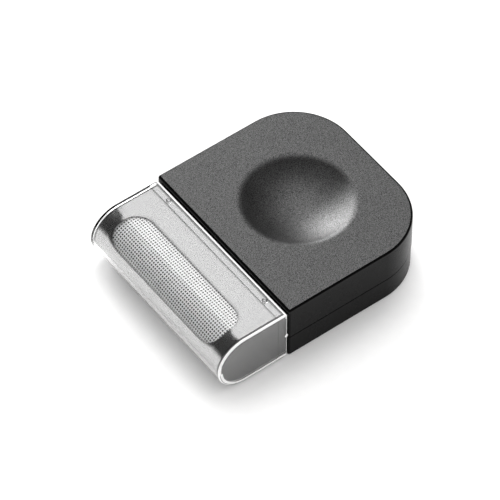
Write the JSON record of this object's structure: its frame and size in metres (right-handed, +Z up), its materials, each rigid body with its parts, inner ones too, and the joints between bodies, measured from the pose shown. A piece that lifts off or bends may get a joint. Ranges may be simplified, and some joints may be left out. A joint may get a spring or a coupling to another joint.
{
  "type": "fabric shaver",
  "caption": "Pocket fabric shaver: D-shaped casing with a thumb dish, lift-off foil head over a geared cutter drum, slide switch, battery door and clear clip-on cap.",
  "frame": {"origin": "middle of the base, on the surface it stands on", "axes": "+X from the shaving head towards the rounded rear, +Z up out of the thumb dish, Y across"},
  "size_m": [0.0876, 0.07, 0.0223],
  "materials": {
    "casing": "fine-grained top, smoother sides",
    "inner_plastic": "plain moulded",
    "cheek": "satin moulded",
    "clear_plastic": "clear, polished",
    "polished_sheet": "bright polished sheet",
    "foil": "satin, perforated",
    "steel": "bright rolled",
    "brass": "turned",
    "white_plastic": "natural acetal",
    "cell_jacket": "printed sleeve, left plain",
    "wire_black": "insulated wire",
    "wire_red": "insulated wire",
    "wire_white": "insulated wire"
  },
  "bodies": {
    "casing": {"upper_shell": "casing", "lower_shell": "casing", "case_screw_1": "steel", "case_screw_2": "steel", "case_screw_3": "steel", "case_screw_4": "steel", "cutter_frame": "inner_plastic", "frame_screw_1": "steel", "frame_screw_2": "steel", "drum_bush_near": "brass", "drum_bush_far": "brass", "idler_pin_1": "steel", "idler_pin_2": "steel", "motor_case": "steel", "motor_end_cap": "white_plastic", "motor_terminal_1": "brass", "motor_terminal_2": "brass", "motor_screw_1": "steel", "motor_screw_2": "steel", "battery_cell_1": "cell_jacket", "battery_cell_2": "cell_jacket", "contact_spring_1": "steel", "contact_spring_2": "steel", "contact_bridge": "steel", "contact_minus": "steel", "contact_plus": "steel", "switch_body": "steel", "wire_black": "wire_black", "wire_red": "wire_red", "wire_white": "wire_white"},
    "door": {"battery_door": "casing"},
    "switch": {"switch_knob": "casing"},
    "head": {"head_cheek_near": "cheek", "head_cheek_far": "cheek", "foil_cover": "polished_sheet", "shaver_foil": "foil"},
    "cap": {"protective_cap": "clear_plastic"},
    "drum": {"drum_core": "inner_plastic", "drum_blade_1": "steel", "drum_blade_2": "steel", "drum_blade_3": "steel", "drum_blade_4": "steel", "drum_shaft": "steel", "drum_gear": "white_plastic"},
    "idler_1": {"idler_gear_1": "white_plastic"},
    "idler_2": {"idler_gear_2": "white_plastic"},
    "rotor": {"motor_shaft": "steel", "motor_pinion": "brass"}
  },
  "joints": [
    {"name": "head_slide", "type": "slide", "parent": "casing", "child": "head", "axis": [-1, 0, 0], "range_m": [0, 0.03]},
    {"name": "cap_slide", "type": "slide", "parent": "head", "child": "cap", "axis": [-1, 0, 0], "range_m": [0, 0.03]},
    {"name": "drum_spin", "type": "hinge", "parent": "casing", "child": "drum", "pos_m": [-0.0335, 0, 0.0108], "axis": [0, 1, 0], "continuous": true},
    {"name": "idler_1_spin", "type": "hinge", "parent": "casing", "child": "idler_1", "pos_m": [-0.0239, 0.0311, 0.0108], "axis": [0, 1, 0], "continuous": true},
    {"name": "idler_2_spin", "type": "hinge", "parent": "casing", "child": "idler_2", "pos_m": [-0.0155, 0.0311, 0.0108], "axis": [0, 1, 0], "continuous": true},
    {"name": "motor_spin", "type": "hinge", "parent": "casing", "child": "rotor", "pos_m": [-0.0083, 0.0311, 0.0108], "axis": [0, 1, 0], "continuous": true},
    {"name": "switch_slide", "type": "slide", "parent": "casing", "child": "switch", "axis": [0, 1, 0], "range_m": [0, 0.004]},
    {"name": "door_hinge", "type": "hinge", "parent": "casing", "child": "door", "pos_m": [0.0154, 0, 0.0009], "axis": [0, 1, 0], "range_deg": [0, 100]}
  ],
  "couplings": [
    {"joint": "idler_1_spin", "follows": "drum_spin", "ratio": -1.2857},
    {"joint": "idler_2_spin", "follows": "drum_spin", "ratio": 1.2857},
    {"joint": "motor_spin", "follows": "drum_spin", "ratio": -1.8}
  ]
}
